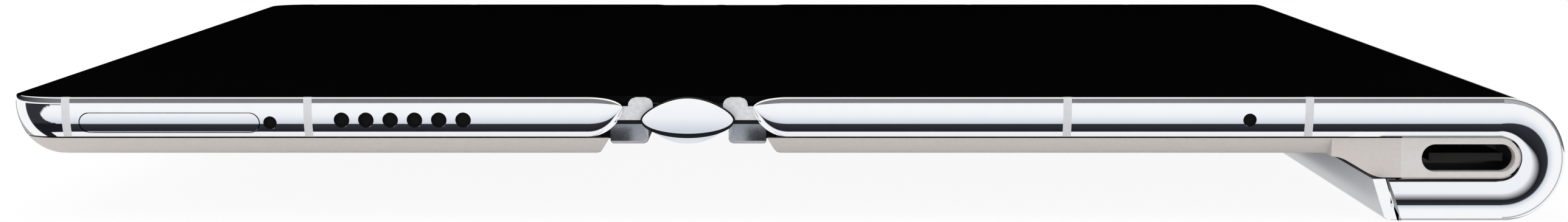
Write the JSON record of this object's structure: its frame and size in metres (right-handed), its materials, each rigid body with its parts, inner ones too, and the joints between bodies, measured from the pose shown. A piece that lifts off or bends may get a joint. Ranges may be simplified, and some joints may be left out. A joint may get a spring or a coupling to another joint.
{
  "type": "foldable smartphone",
  "caption": "Outward-folding smartphone with a flexible display across two thin halves, a geared sliding hinge, a side grip with charging port, card tray and keys.",
  "frame": {"origin": "centre of the unfolded device's box, at the outer face of the grip's back", "axes": "+Z out of the display, +Y along the hinge from the end with the charging port to the other end, +X from the plain half to the half with the grip"},
  "size_m": [0.1392, 0.1564, 0.0111],
  "materials": {
    "polished_frame": "polished and anodised aluminium",
    "satin_metal": "fine bead-blasted aluminium",
    "bright_steel": "machined stainless steel",
    "display_glass": "glossy black display laminate",
    "cover_leather": "fine-grained pale leather",
    "panel_plastic": "moulded plastic in the leather's colour",
    "antenna_plastic": "pale grey moulded plastic",
    "black_plastic": "black moulded plastic",
    "back_glass": "glossy black glass",
    "lens_glass": "coated lens glass",
    "flash_plastic": "clear yellowish plastic",
    "circuit_board": "solder-masked board",
    "battery_pouch": "wrapped battery cell"
  },
  "bodies": {
    "main_half": {"right_frame": "polished_frame", "right_back_cover": "cover_leather", "display_right": "display_glass", "port_panel": "panel_plastic", "far_end_panel": "panel_plastic", "usb_port_shell": "bright_steel", "usb_contact_tongue": "black_plastic", "grip_inner_wall": "satin_metal", "grip_back_panel": "back_glass", "right_antenna_bands": "antenna_plastic", "camera_rings": "bright_steel", "camera_lenses": "lens_glass", "camera_modules": "black_plastic", "flash_lens": "flash_plastic", "battery_right": "battery_pouch", "mainboard": "circuit_board", "shield_cans": "bright_steel", "charging_board": "circuit_board", "vibration_motor": "bright_steel", "microphone": "bright_steel", "board_screws": "bright_steel"},
    "right_arm": {"right_arms": "satin_metal", "right_wing_plate": "satin_metal"},
    "spine": {"hinge_spine": "satin_metal", "hinge_end_caps": "polished_frame", "hinge_cap_rims": "black_plastic", "hinge_pins": "bright_steel", "idler_shafts": "bright_steel", "display_slat_centre": "display_glass"},
    "idler_right": {"idler_gears_right": "bright_steel"},
    "idler_left": {"idler_gears_left": "bright_steel"},
    "left_arm": {"left_arms": "satin_metal", "left_wing_plate": "satin_metal"},
    "left_half": {"left_frame": "polished_frame", "left_back_cover": "cover_leather", "display_left": "display_glass", "left_antenna_bands": "antenna_plastic", "battery_left": "battery_pouch", "speaker_module": "black_plastic", "speaker_mesh": "black_plastic", "card_reader": "bright_steel", "left_board": "circuit_board", "latch_keeper": "bright_steel"},
    "card_tray_body": {"card_tray": "polished_frame"},
    "power_key": {"power_button": "polished_frame"},
    "volume_key": {"volume_rocker": "polished_frame"},
    "release_key": {"release_button": "bright_steel"},
    "latch": {"latch_hook": "bright_steel"},
    "facet_r1": {"display_slat_r1": "display_glass"},
    "facet_r2": {"display_slat_r2": "display_glass"},
    "facet_r3": {"display_slat_r3": "display_glass"},
    "facet_r4": {"display_slat_r4": "display_glass"},
    "facet_r5": {"display_slat_r5": "display_glass"},
    "facet_r6": {"display_slat_r6": "display_glass"},
    "facet_l1": {"display_slat_l1": "display_glass"},
    "facet_l2": {"display_slat_l2": "display_glass"},
    "facet_l3": {"display_slat_l3": "display_glass"},
    "facet_l4": {"display_slat_l4": "display_glass"},
    "facet_l5": {"display_slat_l5": "display_glass"},
    "facet_l6": {"display_slat_l6": "display_glass"}
  },
  "joints": [
    {"name": "fold_slide", "type": "slide", "parent": "main_half", "child": "right_arm", "axis": [1, 0, 0], "range_m": [0, 0.00347]},
    {"name": "fold", "type": "hinge", "parent": "right_arm", "child": "spine", "pos_m": [-0.00605, 0, 0.0082], "axis": [0, -1, 0], "range_deg": [0, 90]},
    {"name": "left_fold", "type": "hinge", "parent": "spine", "child": "left_arm", "pos_m": [-0.01135, 0, 0.0082], "axis": [0, -1, 0], "range_deg": [0, 90]},
    {"name": "left_slide", "type": "slide", "parent": "left_arm", "child": "left_half", "axis": [1, 0, 0], "range_m": [0, 0.00347]},
    {"name": "idler_right_turn", "type": "hinge", "parent": "spine", "child": "idler_right", "pos_m": [-0.00782, 0, 0.0082], "axis": [0, -1, 0], "range_deg": [0, 90]},
    {"name": "idler_left_turn", "type": "hinge", "parent": "spine", "child": "idler_left", "pos_m": [-0.00958, 0, 0.0082], "axis": [0, -1, 0], "range_deg": [-90, 0]},
    {"name": "card_tray_slide", "type": "slide", "parent": "left_half", "child": "card_tray_body", "axis": [0, -1, 0], "range_m": [0, 0.022]},
    {"name": "power_press", "type": "slide", "parent": "main_half", "child": "power_key", "axis": [-1, 0, 0], "range_m": [0, 0.0003], "stiffness_N_per_m": 1500},
    {"name": "volume_rock", "type": "hinge", "parent": "main_half", "child": "volume_key", "pos_m": [0.06815, 0.04, 0.00555], "axis": [0, 0, 1], "range_deg": [-1.2, 1.2], "stiffness_Nm_per_rad": 0.1},
    {"name": "release_press", "type": "slide", "parent": "main_half", "child": "release_key", "axis": [0, 0, 1], "range_m": [0, 0.0005], "stiffness_N_per_m": 800},
    {"name": "latch_draw", "type": "slide", "parent": "main_half", "child": "latch", "axis": [1, 0, 0], "range_m": [0, 0.001]},
    {"name": "bend_r1", "type": "hinge", "parent": "spine", "child": "facet_r1", "pos_m": [-0.00797, 0, 0.0111], "axis": [0, 1, 0], "range_deg": [0, 15]},
    {"name": "bend_r2", "type": "hinge", "parent": "facet_r1", "child": "facet_r2", "pos_m": [-0.00651, 0, 0.0111], "axis": [0, 1, 0], "range_deg": [0, 15]},
    {"name": "bend_r3", "type": "hinge", "parent": "facet_r2", "child": "facet_r3", "pos_m": [-0.00505, 0, 0.0111], "axis": [0, 1, 0], "range_deg": [0, 15]},
    {"name": "bend_r4", "type": "hinge", "parent": "facet_r3", "child": "facet_r4", "pos_m": [-0.00359, 0, 0.0111], "axis": [0, 1, 0], "range_deg": [0, 15]},
    {"name": "bend_r5", "type": "hinge", "parent": "facet_r4", "child": "facet_r5", "pos_m": [-0.00212, 0, 0.0111], "axis": [0, 1, 0], "range_deg": [0, 15]},
    {"name": "bend_r6", "type": "hinge", "parent": "facet_r5", "child": "facet_r6", "pos_m": [-0.00066, 0, 0.0111], "axis": [0, 1, 0], "range_deg": [0, 15]},
    {"name": "bend_l1", "type": "hinge", "parent": "spine", "child": "facet_l1", "pos_m": [-0.00943, 0, 0.0111], "axis": [0, -1, 0], "range_deg": [0, 15]},
    {"name": "bend_l2", "type": "hinge", "parent": "facet_l1", "child": "facet_l2", "pos_m": [-0.01089, 0, 0.0111], "axis": [0, -1, 0], "range_deg": [0, 15]},
    {"name": "bend_l3", "type": "hinge", "parent": "facet_l2", "child": "facet_l3", "pos_m": [-0.01235, 0, 0.0111], "axis": [0, -1, 0], "range_deg": [0, 15]},
    {"name": "bend_l4", "type": "hinge", "parent": "facet_l3", "child": "facet_l4", "pos_m": [-0.01381, 0, 0.0111], "axis": [0, -1, 0], "range_deg": [0, 15]},
    {"name": "bend_l5", "type": "hinge", "parent": "facet_l4", "child": "facet_l5", "pos_m": [-0.01528, 0, 0.0111], "axis": [0, -1, 0], "range_deg": [0, 15]},
    {"name": "bend_l6", "type": "hinge", "parent": "facet_l5", "child": "facet_l6", "pos_m": [-0.01674, 0, 0.0111], "axis": [0, -1, 0], "range_deg": [0, 15]}
  ],
  "couplings": [
    {"joint": "fold", "follows": "fold_slide", "rad_per_m": 452.94},
    {"joint": "left_fold", "follows": "fold_slide", "rad_per_m": 452.94},
    {"joint": "left_slide", "follows": "fold_slide", "ratio": 1},
    {"joint": "idler_right_turn", "follows": "fold_slide", "rad_per_m": 452.94},
    {"joint": "idler_left_turn", "follows": "fold_slide", "rad_per_m": -452.94},
    {"joint": "latch_draw", "follows": "release_press", "ratio": 2},
    {"joint": "bend_r1", "follows": "fold_slide", "rad_per_m": 75.49},
    {"joint": "bend_r2", "follows": "fold_slide", "rad_per_m": 75.49},
    {"joint": "bend_r3", "follows": "fold_slide", "rad_per_m": 75.49},
    {"joint": "bend_r4", "follows": "fold_slide", "rad_per_m": 75.49},
    {"joint": "bend_r5", "follows": "fold_slide", "rad_per_m": 75.49},
    {"joint": "bend_r6", "follows": "fold_slide", "rad_per_m": 75.49},
    {"joint": "bend_l1", "follows": "fold_slide", "rad_per_m": 75.49},
    {"joint": "bend_l2", "follows": "fold_slide", "rad_per_m": 75.49},
    {"joint": "bend_l3", "follows": "fold_slide", "rad_per_m": 75.49},
    {"joint": "bend_l4", "follows": "fold_slide", "rad_per_m": 75.49},
    {"joint": "bend_l5", "follows": "fold_slide", "rad_per_m": 75.49},
    {"joint": "bend_l6", "follows": "fold_slide", "rad_per_m": 75.49}
  ]
}
